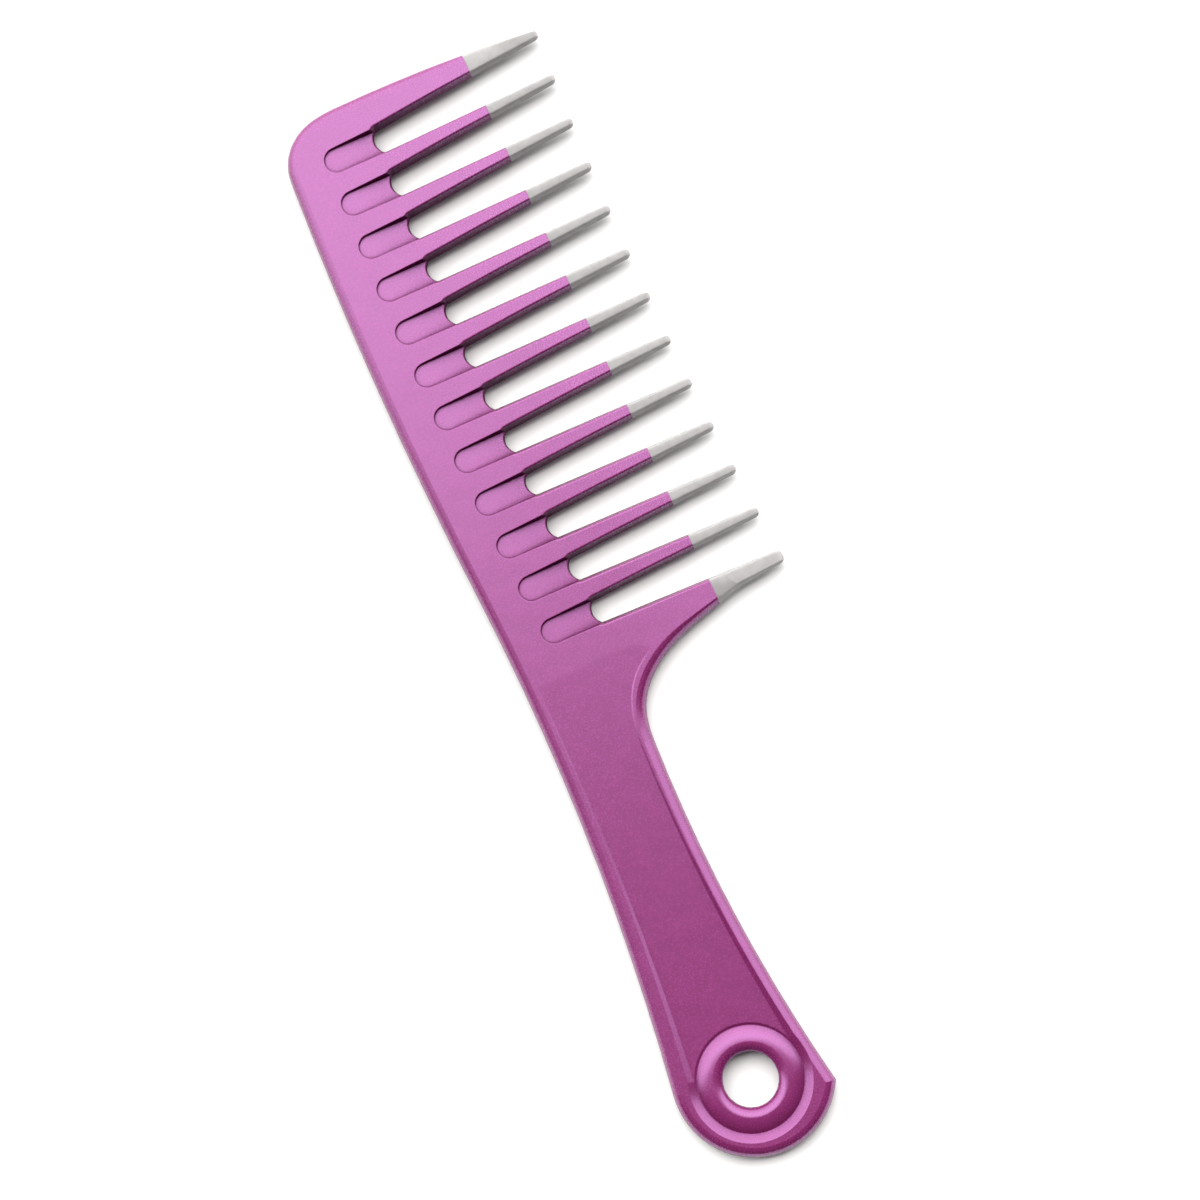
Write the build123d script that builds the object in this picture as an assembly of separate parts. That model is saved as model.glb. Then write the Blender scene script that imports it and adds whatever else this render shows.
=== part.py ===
from build123d import *
import math
import os

# A wide tooth comb with a handle, lying flat. X runs from the head to the end of the handle,
# Y points to the tips of the teeth and Z is up. All lengths are in millimetres.
# The halves above and below the parting plane are alike, so the upper half is made and mirrored.

# ---- driving dimensions --------------------------------------------------------------------
HALF_LENGTH = 120.0          # half of the overall length, head to end of handle
HALF_THICKNESS = 2.5         # parting plane to flat face
DRAFT = 18.0                 # degrees, flanks of the teeth and all the outline

TEETH = 13
PITCH_AT_ROOT = 10.11        # the teeth fan out a little towards their tips
PITCH_AT_TIP = 10.29
UPRIGHT_TOOTH = 11           # index of the tooth that stands square to the spine
UPRIGHT_X = -2.6
WIDTH_AT_ROOT = 5.5          # at the parting plane
WIDTH_AT_TIP = 2.3

# Tips, slot roots, pads and back all follow one shallow bow, lowest at BOW_X.
BOW_X = -51.0
BOW_RADIUS = 922.0
TIP_LINE = 32.1
TIP_JOINT = 17.7             # straight line where the purple shanks end
ROOT_LINE = -8.9
PAD_LINE = -20.4
BACK_LINE = -28.75

ROOT_SAGITTA = 1.15          # depth of the hollow at the root of each slot
ROOT_CORNER_RADIUS = 0.6

PAD_WIDTH = 5.1              # thumb-shaped hollow below each slot, at its floor
PAD_HIGH = 2.15              # floor above the parting plane at the round end
PAD_LOW = 0.95               # floor at the slot
PAD_DRAFT = 15.0

THINNING_FROM = -4.0         # the teeth get thinner from here towards their tips
THINNING_RADIUS = 560.0
NOSE_DEPTH = 1.2             # length of the round end of a tip, seen from the side
TIP_FLARE = 2.6              # how much the rounding tool widens from its nose to its foot

TENON_LENGTH = 6.0           # tongue of the shank inside each tip
TENON_WIDTH = 1.4
TENON_THICKNESS = 2.0

HANDLE_LOW_X = 52.0          # narrowest place of the handle
HANDLE_LOW_Y = -7.42
HANDLE_RADIUS = 346.0        # long hollow curve of the handle's upper edge
END_CENTRE = (102.95, -17.4)
END_RADIUS = HALF_LENGTH - END_CENTRE[0]
BACK_SWING_X = -10.0         # where the back turns from the bow into the handle

HOLE_CENTRE = (103.7, -18.3)
HOLE_RADIUS = 5.8
HOLE_LIP = 1.2               # height of the ring at the hole
RING_CREST = (7.8, 2.48)     # radius and height of the ring's highest line
RING_RADIUS = 11.0
DISH_RADIUS = 12.9           # of the dish round the ring, at the flat face
DISH_FLOOR = 1.45            # height of its floor
DISH_WALL_RUN = 1.6          # plan width of its wall for each millimetre of height
DISH_OVERSHOOT = 1.0         # how far its cutting solid reaches over the flat face
DISH_OVERLAP = 0.3           # how far the panel's ends reach into the dish

PANEL_START_X = 12.0         # the handle's sunk panel starts here with no depth
PANEL_SLOPE = 0.55           # degrees
PANEL_TOP_MARGIN = 2.9       # width of the bead along the upper edge
PANEL_BACK_MARGIN = 2.9      # width of the plain strip along the back
BEAD_WALL_RUN = 1.2          # plan width of a wall for each millimetre of its height
BACK_WALL_RUN = 0.7
PANEL_CUT_HEIGHT = 1.5       # height of the cutting solid, more than the panel's greatest depth

TOOTH_ROUND = 0.35           # radius of the top edges of the teeth
FLANK_MARGIN = 0.2           # how close to a flank's inset a line must be to count as its top edge
NEARLY_STRAIGHT = 0.9        # smallest share of Y in the direction of a line that runs along a tooth
EDGE_ROUND = 2.2             # radius of the outer edge all round the comb
EDGE_STEPS = 3               # flats that stand for that round
ROOF_MARGIN = 0.2            # how far the roofs reach over the flat face
CUT = 6.0                    # overshoot of the cutting solids


# ---- the lines that the outline follows --------------------------------------------------
def bow(x, line):
    """Height of the bowed line with its lowest point at `line`."""
    return line + (x - BOW_X) ** 2 / (2 * BOW_RADIUS)


def along_tooth(y):
    """0 at the root of the teeth, 1 at their tips."""
    return (y - ROOT_LINE) / (TIP_LINE - ROOT_LINE)


def pitch(y):
    return PITCH_AT_ROOT + (PITCH_AT_TIP - PITCH_AT_ROOT) * along_tooth(y)


def centre_x(index, y):
    """Centre line of a tooth, or of the slot after it when index ends in a half."""
    return UPRIGHT_X + (index - UPRIGHT_TOOTH) * pitch(y)


def tooth_width(y):
    return WIDTH_AT_ROOT + (WIDTH_AT_TIP - WIDTH_AT_ROOT) * along_tooth(y)


def slot_edge(slot, side, y):
    """X of one flank of a slot: side is -1 towards the head and 1 towards the handle."""
    return centre_x(slot + 0.5, y) + side * (pitch(y) - tooth_width(y)) / 2


# ---- plan shapes ---------------------------------------------------------------------------
HEAD_TIP_X = -116.9
HEAD_WIDEST = (-HALF_LENGTH, -12.0)
HEAD_CORNER = (-117.0, -22.9)
HEAD_BACK_X = -109.0
GUARD_TIP_X = 9.45
GUARD_SIDE = [(10.6, 22.5), (13.1, 12.4), (17.3, 1.85), (23.6, -4.7)]
GUARD_TIP_DIRECTION = (-0.1, 1)
NECK_END_X = 32.0
NECK_TURN = (20.7, -1.4)     # the sunk panel keeps its margin inside these points of the neck
NECK_TOP = (14.9, 6.0)
NECK_TOP_DIRECTION = (-0.4, 1)
END_TOP_ANGLE = 61.6         # degrees, where the round end runs into the handle's upper edge
END_MIDDLE_ANGLE = -20.0


def on_bow(x, line):
    return (x, bow(x, line))


def on_end_circle(angle):
    turn = math.radians(angle)
    return (END_CENTRE[0] + END_RADIUS * math.cos(turn), END_CENTRE[1] + END_RADIUS * math.sin(turn))


def on_handle_top(x):
    return (x, HANDLE_LOW_Y + (x - HANDLE_LOW_X) ** 2 / (2 * HANDLE_RADIUS))


def handle_top_slope(x):
    """Slope of the handle's upper edge in degrees."""
    return math.degrees(math.atan((x - HANDLE_LOW_X) / HANDLE_RADIUS))


def arc_onto_circle(start, direction, centre, radius):
    """Arc that leaves start in a direction, curves to the right and meets a circle on its left smoothly."""
    normal = direction.rotate(Axis.Z, -90)
    reach = start - centre
    arc_radius = (reach.length ** 2 - radius ** 2) / (2 * (radius - normal.dot(reach)))
    arc_centre = start + normal * arc_radius
    meeting = arc_centre + (centre - arc_centre) * (arc_radius / (arc_radius + radius))
    return TangentArc(start, meeting, tangent=direction)


def outline_edges(tip_line=TIP_LINE):
    """The outline with its slots filled in, round from the back over the handle, the guard and the head."""
    back = ThreePointArc(
        on_bow(HEAD_BACK_X, BACK_LINE),
        on_bow(BOW_X, BACK_LINE),
        on_bow(BACK_SWING_X, BACK_LINE),
    )
    swing = arc_onto_circle(back @ 1, back % 1, Vector(*END_CENTRE), END_RADIUS)
    end = ThreePointArc(swing @ 1, on_end_circle(END_MIDDLE_ANGLE), on_end_circle(END_TOP_ANGLE))
    handle_top = ThreePointArc(end @ 1, on_handle_top(HANDLE_LOW_X), on_handle_top(NECK_END_X))
    guard_tip = on_bow(GUARD_TIP_X, TIP_LINE)
    guard = Spline(
        [handle_top @ 1] + GUARD_SIDE[::-1] + [guard_tip],
        tangents=(handle_top % 1, GUARD_TIP_DIRECTION),
    )
    head_side = TangentArc(HEAD_WIDEST, on_bow(HEAD_TIP_X, TIP_LINE), tangent=(0, 1))
    head_corner = Spline(HEAD_WIDEST, HEAD_CORNER, back @ 0, tangents=((0, -1), back % 0))
    beyond = tip_line - TIP_LINE
    if beyond:
        guard_end = Line(guard @ 1, guard @ 1 + guard % 1 * beyond)
        head_end = Line(head_side @ 1, head_side @ 1 + head_side % 1 * beyond)
        tips = [guard_end, Line(guard_end @ 1, head_end @ 1), head_end]
    else:
        tips = [ThreePointArc(guard @ 1, on_bow(BOW_X, TIP_LINE), head_side @ 1)]
    return [back, swing, end, handle_top, guard, *tips, head_side, head_corner]


def slot_shape(slot):
    """One gap between two teeth, with a hollow arc at its root."""
    root_x = centre_x(slot + 0.5, ROOT_LINE)
    root_y = bow(root_x, ROOT_LINE)
    corner_y = root_y + ROOT_SAGITTA
    open_y = TIP_LINE + CUT
    near = (slot_edge(slot, -1, corner_y), corner_y)
    far = (slot_edge(slot, 1, corner_y), corner_y)
    far_open = (slot_edge(slot, 1, open_y), open_y)
    near_open = (slot_edge(slot, -1, open_y), open_y)
    shape = make_face([
        ThreePointArc(near, (root_x, root_y), far),
        Line(far, far_open),
        Line(far_open, near_open),
        Line(near_open, near),
    ])
    return fillet(shape.vertices().sort_by(Axis.Y)[:2], ROOT_CORNER_RADIUS)


def plan():
    shape = make_face(outline_edges())
    for slot in range(TEETH - 1):
        shape -= slot_shape(slot)
    return shape


# ---- upper half of the whole comb --------------------------------------------------------
def tooth_height(y):
    """Height of the teeth over the parting plane."""
    return HALF_THICKNESS - max(0.0, y - THINNING_FROM) ** 2 / (2 * THINNING_RADIUS)


def thinning_cut():
    """What is taken off the flat top so that the teeth get thinner towards their tips."""
    end_y = TIP_LINE + CUT
    middle_y = (THINNING_FROM + end_y) / 2
    arc = ThreePointArc(
        (THINNING_FROM, HALF_THICKNESS),
        (middle_y, tooth_height(middle_y)),
        (end_y, tooth_height(end_y)),
    )
    above = Polyline(arc @ 1, (end_y, CUT), (THINNING_FROM, CUT), arc @ 0)
    reach = (HALF_LENGTH + CUT + NECK_END_X) / 2
    side_view = Plane.YZ.offset(NECK_END_X - reach) * make_face([arc, above])
    return extrude(side_view, amount=reach, both=True)


def crown(taper):
    """Room under a roof all round the outline. The roof's plane touches the round of the outer edge."""
    slope = math.radians(taper)
    wall = math.radians(DRAFT)
    round_centre_z = HALF_THICKNESS - EDGE_ROUND
    round_centre_inset = EDGE_ROUND * math.cos(wall)
    round_centre_inset += (round_centre_z + EDGE_ROUND * math.sin(wall)) * math.tan(wall)
    touch_z = round_centre_z + EDGE_ROUND * math.sin(slope)
    touch_inset = round_centre_inset - EDGE_ROUND * math.cos(slope)
    eaves_z = touch_z - touch_inset / math.tan(slope)
    outline = make_face(outline_edges(TIP_LINE + CUT))
    roof_height = HALF_THICKNESS - eaves_z + ROOF_MARGIN
    roof = extrude(Pos(0, 0, eaves_z) * outline, amount=roof_height, taper=taper)
    return extrude(outline, amount=eaves_z) + roof


def rounded(half):
    """Rounds the top edges of the teeth a little and the outer edge of the whole comb widely, in steps."""
    half = fillet([edge for edge in half.edges() if is_flank_edge(edge)], TOOTH_ROUND)
    for step in range(1, EDGE_STEPS + 1):
        half &= crown(DRAFT + (90 - DRAFT) * step / (EDGE_STEPS + 1))
    return half


def is_flank_edge(edge):
    """True for the top edges of the teeth that border a slot."""
    middle = edge @ 0.5
    runs_along_tooth = abs((edge % 0.5).Y) > NEARLY_STRAIGHT and edge.length > TIP_LINE / 2
    flank_inset = HALF_THICKNESS * math.tan(math.radians(DRAFT))
    beside_slot = any(
        abs(middle.X - slot_edge(slot, side, middle.Y)) < flank_inset + FLANK_MARGIN
        for slot in range(TEETH - 1)
        for side in (-1, 1)
    )
    return runs_along_tooth and beside_slot and middle.Z > HALF_THICKNESS / 2


def pad_cut(slot):
    """Thumb-shaped hollow below a slot, with a floor that falls towards the slot."""
    centre = centre_x(slot + 0.5, ROOT_LINE)
    round_end_y = bow(centre, PAD_LINE)
    slot_y = bow(centre, ROOT_LINE)
    fall = math.degrees(math.atan2(PAD_HIGH - PAD_LOW, slot_y - round_end_y))
    radius = PAD_WIDTH / 2
    length = slot_y - round_end_y + CUT / 2
    floor = Plane(origin=(centre, round_end_y, PAD_HIGH)).rotated((-fall, 0, 0))
    shape = Pos(0, radius) * Circle(radius)
    shape += Pos(0, (radius + length) / 2) * Rectangle(PAD_WIDTH, length - radius)
    return extrude(floor * shape, amount=CUT / 2, taper=-PAD_DRAFT)


def panel_floor(x):
    """Height of the sunk panel's floor."""
    return HALF_THICKNESS - (x - PANEL_START_X) * math.tan(math.radians(PANEL_SLOPE))


def panel_face(rise):
    """Plan of the sunk panel between the bead, the back and the dish, at some height over its floor."""
    top = PANEL_TOP_MARGIN - rise * BEAD_WALL_RUN
    back = PANEL_BACK_MARGIN - rise * BACK_WALL_RUN
    hole = Vector(*HOLE_CENTRE)
    dish = dish_radius(panel_floor(hole.X) + rise) - DISH_OVERLAP
    onto_dish = hole + Vector(0, dish).rotate(Axis.Z, handle_top_slope(hole.X))
    low = Vector(*on_handle_top(HANDLE_LOW_X)) - (0, top)
    neck_end = Vector(*on_handle_top(NECK_END_X)) - (0, top)
    upper = ThreePointArc(onto_dish, low, neck_end)
    neck_turn = (NECK_TURN[0] - top, NECK_TURN[1] - top)
    neck_top = (NECK_TOP[0] - top, NECK_TOP[1])
    neck = Spline(upper @ 1, neck_turn, neck_top, tangents=(upper % 1, NECK_TOP_DIRECTION))
    swing = outline_edges()[1]
    lower = arc_onto_circle((swing @ 0) + (0, back), swing % 0, hole, dish)
    start = Line(neck @ 1, lower @ 0)
    through_dish = Polyline(lower @ 1, hole, upper @ 0)
    return make_face([upper, neck, start, lower, through_dish])


def panel_cut():
    """The handle's sunk panel, deeper towards the hole."""
    floor = Plane(origin=(PANEL_START_X, 0, HALF_THICKNESS)).rotated((0, PANEL_SLOPE, 0))
    bottom = floor * (Pos(-PANEL_START_X, 0) * panel_face(0))
    top = floor.offset(PANEL_CUT_HEIGHT) * (Pos(-PANEL_START_X, 0) * panel_face(PANEL_CUT_HEIGHT))
    return loft([bottom, top], ruled=True)


def dish_radius(z):
    """Radius of the dish's sloping wall at height z."""
    return DISH_RADIUS - (HALF_THICKNESS - z) * DISH_WALL_RUN


def dish_cut():
    """What is taken off round the hanging hole. Nothing but the ring is left inside the ring's foot."""
    above = HALF_THICKNESS + DISH_OVERSHOOT
    profile = Plane.XZ * make_face(Polyline(
        (0, 0),
        (RING_RADIUS, 0),
        (RING_RADIUS, DISH_FLOOR),
        (dish_radius(DISH_FLOOR), DISH_FLOOR),
        (dish_radius(above), above),
        (0, above),
        close=True,
    ))
    return Pos(*HOLE_CENTRE) * revolve(profile, Axis.Z)


def ring():
    """Raised ring round the hole, steep on the inside and falling gently on the outside."""
    inside = TangentArc(RING_CREST, (HOLE_RADIUS, HOLE_LIP), tangent=(-1, 0))
    outside = TangentArc(RING_CREST, (RING_RADIUS, DISH_FLOOR), tangent=(1, 0))
    foot = Polyline(inside @ 1, (HOLE_RADIUS, 0), (RING_RADIUS, 0), outside @ 1)
    return Pos(*HOLE_CENTRE) * revolve(Plane.XZ * make_face([inside, foot, outside]), Axis.Z)


def upper_half():
    half = extrude(plan(), amount=HALF_THICKNESS, taper=DRAFT)
    half -= thinning_cut()
    half = rounded(half)
    for slot in range(TEETH - 1):
        half -= pad_cut(slot)
    half -= panel_cut()
    half -= dish_cut()
    half += ring()
    return half


# ---- splitting the moulding from its tips ---------------------------------------------------
def whole_comb():
    half = upper_half()
    comb = half + mirror(half, about=Plane.XY)
    return comb - Pos(*HOLE_CENTRE) * Cylinder(HOLE_RADIUS, 4 * HALF_THICKNESS)


def tip_zone():
    depth = TIP_LINE + CUT - TIP_JOINT
    return Pos(0, TIP_JOINT + depth / 2) * Box(2 * HALF_LENGTH + CUT, depth, 4 * HALF_THICKNESS)


def tenon(tip):
    """The tongue of the shank that the tip grips, from the middle of the joint face."""
    joint = tip.faces().sort_by(Axis.Y)[0]
    tongue = Box(TENON_WIDTH, TENON_LENGTH, TENON_THICKNESS)
    return Pos(joint.center().X, TIP_JOINT + TENON_LENGTH / 2) * tongue


def round_nosed(blank):
    """A tip with its end rounded off above and below."""
    tip_y = blank.bounding_box().max.Y
    shoulder = tip_y - NOSE_DEPTH
    half_height = tooth_height(shoulder)
    nose = ThreePointArc((-half_height, shoulder), (0, tip_y), (half_height, shoulder))
    foot = TIP_JOINT - CUT
    flare = half_height + TIP_FLARE
    outline = make_face([nose, Polyline(nose @ 1, (flare, foot), (-flare, foot), nose @ 0)])
    side_view = Plane(origin=(blank.center().X, 0, 0), x_dir=(0, 0, 1), z_dir=(-1, 0, 0))
    return blank & extrude(side_view * outline, amount=CUT, both=True)


def comb_pieces():
    """The moulding and its thirteen tips, by name, from the head to the handle."""
    comb = whole_comb()
    body = comb - tip_zone()
    pieces = {}
    blanks = (comb & tip_zone()).solids().sort_by(Axis.X)
    for number, blank in enumerate(blanks, start=1):
        tongue = tenon(blank)
        body += tongue
        pieces[f"tooth_tip_{number:02d}"] = round_nosed(blank) - tongue
    pieces["comb_body"] = body
    return pieces


pieces = comb_pieces()
box = Compound(children=[Compound(piece.solids()) for piece in pieces.values()]).bounding_box()
to_origin = Pos(-box.center().X, -box.center().Y, -box.min.Z)
os.makedirs("parts", exist_ok=True)
for name, piece in pieces.items():
    export_step(to_origin * piece, f"parts/{name}.step")
print("overall size", box.size)
print("hanging hole at", HOLE_CENTRE[0] - box.center().X, HOLE_CENTRE[1] - box.center().Y)
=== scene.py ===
import math

import bmesh
import bpy
from mathutils import Matrix, Vector


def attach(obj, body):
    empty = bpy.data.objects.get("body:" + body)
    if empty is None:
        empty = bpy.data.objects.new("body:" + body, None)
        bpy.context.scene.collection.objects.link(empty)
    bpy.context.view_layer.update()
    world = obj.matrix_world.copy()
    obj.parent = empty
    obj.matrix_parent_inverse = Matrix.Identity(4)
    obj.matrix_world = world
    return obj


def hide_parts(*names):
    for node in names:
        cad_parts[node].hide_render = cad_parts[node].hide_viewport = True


# The comb lies on a pale floor, teeth towards +Y and handle towards +X. All lengths are in metres.
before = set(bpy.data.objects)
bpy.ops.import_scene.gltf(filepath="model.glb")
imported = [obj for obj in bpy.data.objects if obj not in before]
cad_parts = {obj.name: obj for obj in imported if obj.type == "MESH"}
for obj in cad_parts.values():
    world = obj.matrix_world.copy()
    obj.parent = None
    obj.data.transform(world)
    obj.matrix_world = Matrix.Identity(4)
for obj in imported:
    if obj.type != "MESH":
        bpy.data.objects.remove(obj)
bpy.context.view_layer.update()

# ---- driving values --------------------------------------------------------------------------
VIEW_TARGET = Vector((0.00043, -0.00474, 0.0025))
VIEW_DISTANCE = 0.6713
VIEW_TILT = math.radians(6.86)         # the camera leans over the handle by this much
VIEW_ROLL = math.radians(65)           # the comb runs down to the right at this angle
LENS = 96.0                            # focal length and sensor width in millimetres
SENSOR = 36.0
NEAREST_SEEN = 0.01

FLOOR_SIZE = 6.0

TIP_COUNT = 13
TIP_ROUND = 0.0012                     # radius of the round ends of the tips, seen from above
ROUND_STEPS = 8
LEAST_SHARE = 0.1                      # of a tip's width that is left at its very end
WELD = 0.000001                        # vertices nearer than this are one
CREASE = math.radians(40)              # edges sharper than this stay sharp on the tips

LIGHT_TURN = math.radians(10)          # the sky's bright half lies towards -X, turned this much to +Y
DIM_FROM, BRIGHT_FROM = -0.07, -0.20   # where along the sky the light changes from dim to bright
DIM_SKY, BRIGHT_SKY = 0.15, 5.0
SKY_BEND = 0.12                        # the change moves into the dim half at both sides
HORIZON_SHARE = 0.42                   # of the sky's light overhead that is left at the horizon
SKY_COLOUR = (1.0, 0.985, 0.97, 1.0)

EDGE_SOFTNESS = 0.00025                # radius of the small rounds on all edges
EDGE_SAMPLES = 8
RECESS_REACH = 0.008                   # only what is nearer than this shelters a surface
RECESS_SAMPLES = 6
SHELTERED, OPEN = 0.6, 0.82            # openness at which the painted shade is deepest, and where it ends
DEEPEST_PAINTED_SHADE = 0.3                     # of its colour that a surface keeps under the deepest painted shade
GLOSS_FROM = 0.5                       # surfaces deeper in painted shade than this have no gloss, so their reflection is painted out
GLOSS = 0.9

PURPLES = (0.146, 0.0108, 0.078), (0.176, 0.0143, 0.098)
PURPLE_ROUGHNESS = 0.225, 0.295
PURPLE_RELIEF = 0.00002                # depth
PURPLE_IOR = 1.72
PEARL_TINT = (0.88, 0.49, 1.0, 1.0)    # colour of the gloss seen straight on
FLAKE_SIZE = 0.00022
CLOUD_SIZE = 0.004
CLOUD_SHARE = 0.6                      # of the paint's pattern, the rest is flakes

MILKY_WHITES = (0.285, 0.277, 0.279), (0.335, 0.326, 0.328)
TIP_ROUGHNESS = 0.4, 0.55
TIP_RELIEF = 0.00003                   # depth
TIP_CLOUD_SIZE = 0.0015
LIGHT_INSIDE = 0.6                     # of the light on a tip that goes through its plastic
LIGHT_REACH = 0.002                    # how far that light spreads

FLOOR_WHITES = (0.90, 0.90, 0.90), (0.92, 0.92, 0.92)
FLOOR_ROUGHNESS = 0.9
GRAIN_SIZE = 0.02


# ---- node helpers ----------------------------------------------------------------------------
def new_material(name):
    """A new material, its nodes and its shader."""
    material = bpy.data.materials.new(name)
    material.use_nodes = True
    tree = material.node_tree
    return material, tree, tree.nodes["Principled BSDF"]


def add(tree, kind, inputs=None, **settings):
    """A new node with values for its inputs, by name, and its other settings."""
    node = tree.nodes.new(kind)
    for key, value in settings.items():
        setattr(node, key, value)
    for key, value in (inputs or {}).items():
        node.inputs[key].default_value = value
    return node


def texture(tree, kind, size, inputs=None, **settings):
    """A procedural texture in object coordinates whose features are `size` metres across."""
    coordinates = tree.nodes.get("Texture Coordinate") or tree.nodes.new("ShaderNodeTexCoord")
    node = add(tree, kind, inputs, **settings)
    node.inputs["Scale"].default_value = 1 / size
    tree.links.new(coordinates.outputs["Object"], node.inputs["Vector"])
    return node


def blend_colours(tree, factor, low, high):
    """Colour that goes from low to high as the factor goes from 0.3 to 0.7."""
    ramp = add(tree, "ShaderNodeValToRGB")
    ramp.color_ramp.elements[0].position = 0.3
    ramp.color_ramp.elements[1].position = 0.7
    ramp.color_ramp.elements[0].color = (*low, 1)
    ramp.color_ramp.elements[1].color = (*high, 1)
    tree.links.new(factor, ramp.inputs["Fac"])
    return ramp.outputs["Color"]


def spread(tree, factor, low, high):
    """Number that goes from low to high with the factor."""
    node = add(tree, "ShaderNodeMapRange", {"To Min": low, "To Max": high})
    tree.links.new(factor, node.inputs["Value"])
    return node.outputs["Result"]


def surface_detail(tree, shader, height, depth):
    """Small rounds on the edges and a relief from a texture, `depth` metres deep."""
    rounds = add(tree, "ShaderNodeBevel", {"Radius": EDGE_SOFTNESS}, samples=EDGE_SAMPLES)
    relief = add(tree, "ShaderNodeBump", {"Distance": depth})
    tree.links.new(rounds.outputs["Normal"], relief.inputs["Normal"])
    tree.links.new(height, relief.inputs["Height"])
    tree.links.new(relief.outputs["Normal"], shader.inputs["Normal"])


def painted_recess_shade(tree):
    """Painted shade from sheltering: 1 on open faces, falling to the deepest painted shade in corners, on
    walls and close to the floor.
    """
    shelter = add(tree, "ShaderNodeAmbientOcclusion", {"Distance": RECESS_REACH}, samples=RECESS_SAMPLES)
    shade = add(tree, "ShaderNodeMapRange", {
        "From Min": SHELTERED, "From Max": OPEN, "To Min": DEEPEST_PAINTED_SHADE,
    })
    tree.links.new(shelter.outputs["AO"], shade.inputs["Value"])
    return shade.outputs["Result"]


def darken(tree, colour, shade):
    """The colour with painted shade: darker where the shade is below 1."""
    scaled = add(tree, "ShaderNodeVectorMath", operation="SCALE")
    tree.links.new(colour, scaled.inputs[0])
    tree.links.new(shade, scaled.inputs["Scale"])
    return scaled.outputs["Vector"]


# ---- materials -------------------------------------------------------------------------------
def pearl_paint():
    """Purple with fine pearl flakes and soft clouds, with painted shade: darker and less glossy in
    corners, on walls and close to the floor.
    """
    material, tree, shader = new_material("pearl_purple")
    flakes = texture(tree, "ShaderNodeTexVoronoi", FLAKE_SIZE)
    clouds = texture(tree, "ShaderNodeTexNoise", CLOUD_SIZE, {"Detail": 3.0})
    flake_tone = add(tree, "ShaderNodeRGBToBW")
    tree.links.new(flakes.outputs["Color"], flake_tone.inputs["Color"])
    flake_part = add(tree, "ShaderNodeMath", operation="MULTIPLY")
    flake_part.inputs[1].default_value = 1 - CLOUD_SHARE
    tree.links.new(flake_tone.outputs["Val"], flake_part.inputs[0])
    pattern = add(tree, "ShaderNodeMath", operation="MULTIPLY_ADD")
    pattern.inputs[1].default_value = CLOUD_SHARE
    tree.links.new(clouds.outputs["Fac"], pattern.inputs[0])
    tree.links.new(flake_part.outputs[0], pattern.inputs[2])
    colour = blend_colours(tree, pattern.outputs[0], *PURPLES)
    # painted shade: the base colour is darkened in corners, on walls and close to the floor
    shade = painted_recess_shade(tree)
    tree.links.new(darken(tree, colour, shade), shader.inputs["Base Color"])
    tree.links.new(spread(tree, flake_tone.outputs["Val"], *PURPLE_ROUGHNESS), shader.inputs["Roughness"])
    # painted shade also dims the gloss, so sheltered walls and flanks show no reflection
    gloss = add(tree, "ShaderNodeMapRange", {"From Min": GLOSS_FROM, "To Max": GLOSS})
    tree.links.new(shade, gloss.inputs["Value"])
    tree.links.new(gloss.outputs["Result"], shader.inputs["Specular IOR Level"])
    shader.inputs["Specular Tint"].default_value = PEARL_TINT
    shader.inputs["IOR"].default_value = PURPLE_IOR
    surface_detail(tree, shader, clouds.outputs["Fac"], PURPLE_RELIEF)
    return material


def tip_plastic():
    """Milky plastic that lets some light through."""
    material, tree, shader = new_material("tip_white")
    clouds = texture(tree, "ShaderNodeTexNoise", TIP_CLOUD_SIZE, {"Detail": 4.0})
    colour = blend_colours(tree, clouds.outputs["Fac"], *MILKY_WHITES)
    tree.links.new(colour, shader.inputs["Base Color"])
    tree.links.new(spread(tree, clouds.outputs["Fac"], *TIP_ROUGHNESS), shader.inputs["Roughness"])
    shader.inputs["Subsurface Weight"].default_value = LIGHT_INSIDE
    shader.inputs["Subsurface Radius"].default_value = (1.0, 1.0, 1.0)
    shader.inputs["Subsurface Scale"].default_value = LIGHT_REACH
    surface_detail(tree, shader, clouds.outputs["Fac"], TIP_RELIEF)
    return material


def floor_paint():
    """Matt and nearly white, with a faint grain."""
    material, tree, shader = new_material("pale_floor")
    grain = texture(tree, "ShaderNodeTexNoise", GRAIN_SIZE, {"Detail": 5.0})
    colour = blend_colours(tree, grain.outputs["Fac"], *FLOOR_WHITES)
    tree.links.new(colour, shader.inputs["Base Color"])
    shader.inputs["Roughness"].default_value = FLOOR_ROUGHNESS
    return material


# ---- pieces ----------------------------------------------------------------------------------
def dress(node, material):
    """Gives a CAD node its material."""
    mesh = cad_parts[node].data
    mesh.materials.clear()
    mesh.materials.append(material)


def round_off(shape):
    """Draws the flat end of a tip in to a half circle as seen from above."""
    end = max(vertex.co.y for vertex in shape.verts)
    shoulder = end - TIP_ROUND
    for step in range(ROUND_STEPS):
        level = shoulder + TIP_ROUND * math.sin(math.pi / 2 * step / ROUND_STEPS)
        everything = shape.verts[:] + shape.edges[:] + shape.faces[:]
        bmesh.ops.bisect_plane(shape, geom=everything, plane_co=(0, level, 0), plane_no=(0, 1, 0))
    nose = [vertex for vertex in shape.verts if vertex.co.y > shoulder]
    middle = (min(vertex.co.x for vertex in nose) + max(vertex.co.x for vertex in nose)) / 2
    for vertex in nose:
        passed = (vertex.co.y - shoulder) / TIP_ROUND
        share = math.sqrt(max(1 - passed ** 2, LEAST_SHARE ** 2))
        vertex.co.x = middle + (vertex.co.x - middle) * share


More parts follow.
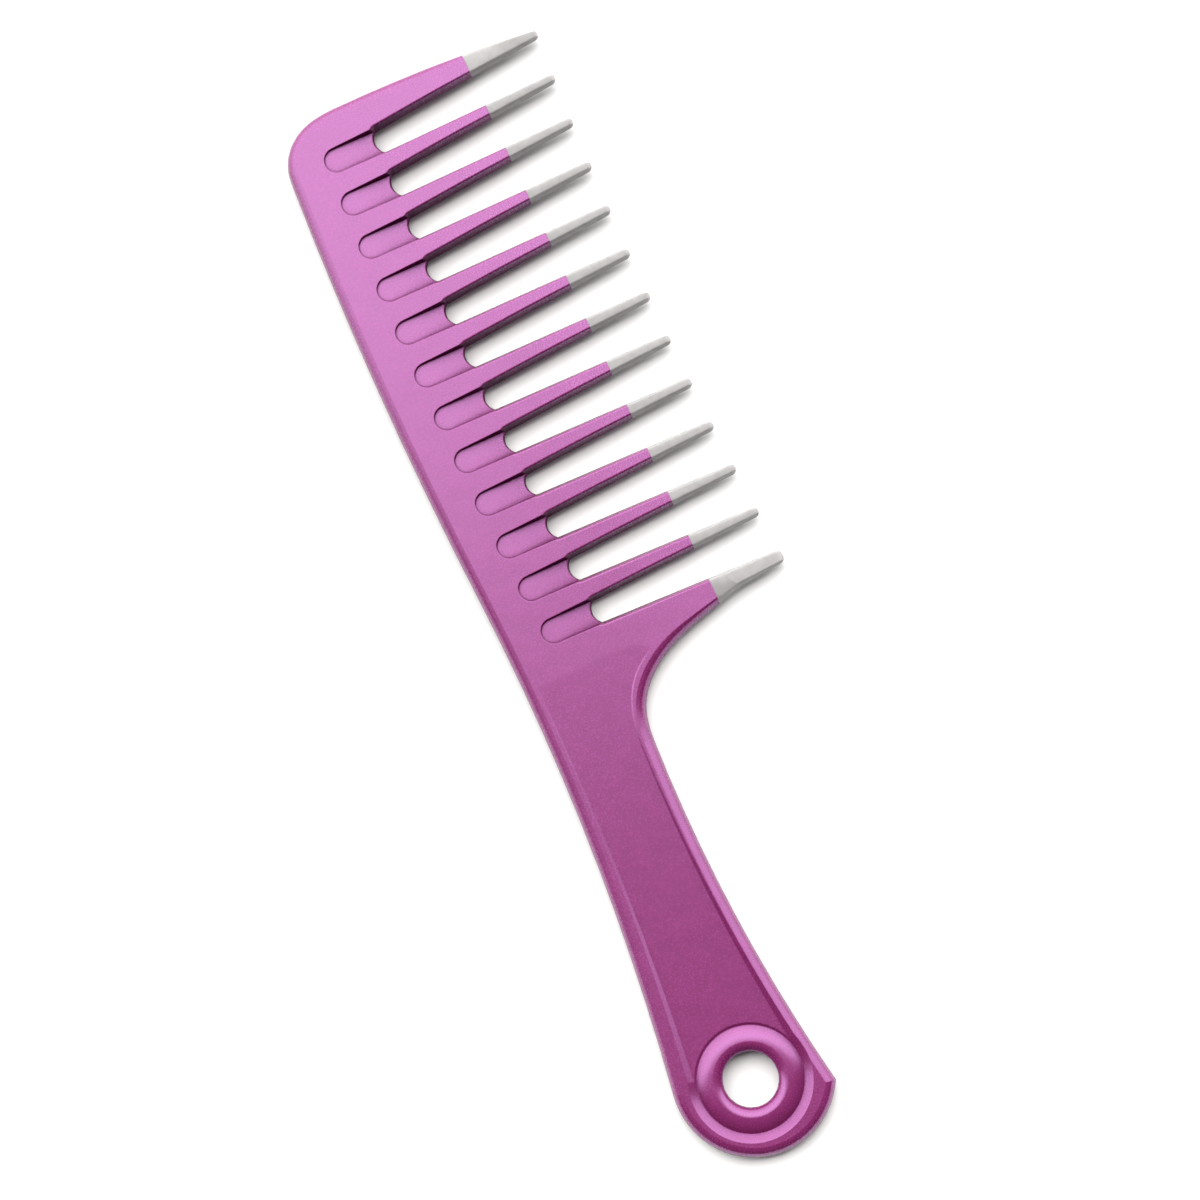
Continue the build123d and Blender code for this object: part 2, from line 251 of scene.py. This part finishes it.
def rounded_tip(node, material):
    """A tip with a round end in place of the CAD tip of that name."""
    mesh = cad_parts[node].data.copy()
    mesh.name = f"rounded_{node}"
    if "custom_normal" in mesh.attributes:
        mesh.attributes.remove(mesh.attributes["custom_normal"])
    shape = bmesh.new()
    shape.from_mesh(mesh)
    bmesh.ops.remove_doubles(shape, verts=shape.verts, dist=WELD)
    round_off(shape)
    bmesh.ops.dissolve_degenerate(shape, dist=WELD, edges=shape.edges)
    shape.to_mesh(mesh)
    shape.free()
    mesh.shade_smooth()
    mesh.set_sharp_from_angle(angle=CREASE)
    mesh.materials.clear()
    mesh.materials.append(material)
    tip = bpy.data.objects.new(f"rounded_{node}", mesh)
    bpy.context.collection.objects.link(tip)
    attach(tip, "root")
    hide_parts(node)


# ---- stage -----------------------------------------------------------------------------------
def floor():
    """A large flat floor under the comb."""
    bpy.ops.mesh.primitive_plane_add(size=FLOOR_SIZE)
    plane = bpy.context.object
    plane.name = "floor"
    plane.data.materials.append(floor_paint())


def studio_dome():
    """Soft light from the head side: one half of the sky is bright and the other half is dim."""
    world = bpy.data.worlds.new("studio")
    world.use_nodes = True
    tree = world.node_tree
    direction = tree.nodes.new("ShaderNodeTexCoord")
    turned = add(tree, "ShaderNodeVectorRotate", {"Angle": LIGHT_TURN}, rotation_type="Z_AXIS")
    tree.links.new(direction.outputs["Generated"], turned.inputs["Vector"])
    axes = tree.nodes.new("ShaderNodeSeparateXYZ")
    tree.links.new(turned.outputs["Vector"], axes.inputs["Vector"])
    glow = add(tree, "ShaderNodeMapRange", {
        "From Min": DIM_FROM, "From Max": BRIGHT_FROM, "To Min": DIM_SKY, "To Max": BRIGHT_SKY,
    })
    square = add(tree, "ShaderNodeMath", operation="MULTIPLY")
    tree.links.new(axes.outputs["Y"], square.inputs[0])
    tree.links.new(axes.outputs["Y"], square.inputs[1])
    bend = add(tree, "ShaderNodeMath", operation="MULTIPLY_ADD")
    bend.inputs[1].default_value = -SKY_BEND
    tree.links.new(square.outputs[0], bend.inputs[0])
    tree.links.new(axes.outputs["X"], bend.inputs[2])
    tree.links.new(bend.outputs[0], glow.inputs["Value"])
    height = add(tree, "ShaderNodeMapRange", {"To Min": HORIZON_SHARE})
    tree.links.new(axes.outputs["Z"], height.inputs["Value"])
    light = add(tree, "ShaderNodeMath", operation="MULTIPLY")
    tree.links.new(glow.outputs["Result"], light.inputs[0])
    tree.links.new(height.outputs["Result"], light.inputs[1])
    tree.links.new(light.outputs[0], tree.nodes["Background"].inputs["Strength"])
    tree.nodes["Background"].inputs["Color"].default_value = SKY_COLOUR
    bpy.context.scene.world = world


def camera():
    """Looks down at the comb, leaning over its handle, with the picture turned by VIEW_ROLL."""
    along = Vector((math.cos(VIEW_TILT), 0, -math.sin(VIEW_TILT)))
    across = Vector((0, 1, 0))
    back = along.cross(across)
    right = math.cos(VIEW_ROLL) * along + math.sin(VIEW_ROLL) * across
    up = math.cos(VIEW_ROLL) * across - math.sin(VIEW_ROLL) * along
    data = bpy.data.cameras.new("camera")
    data.lens = LENS
    data.sensor_width = SENSOR
    data.clip_start = NEAREST_SEEN
    eye = bpy.data.objects.new("camera", data)
    turn = Matrix((right, up, back)).transposed().to_4x4()
    eye.matrix_world = Matrix.Translation(VIEW_TARGET + VIEW_DISTANCE * back) @ turn
    bpy.context.collection.objects.link(eye)
    bpy.context.scene.camera = eye


bpy.context.scene.view_settings.view_transform = "Standard"
dress("comb_body", pearl_paint())
white = tip_plastic()
for number in range(1, TIP_COUNT + 1):
    rounded_tip(f"tooth_tip_{number:02d}", white)
floor()
studio_dome()
camera()
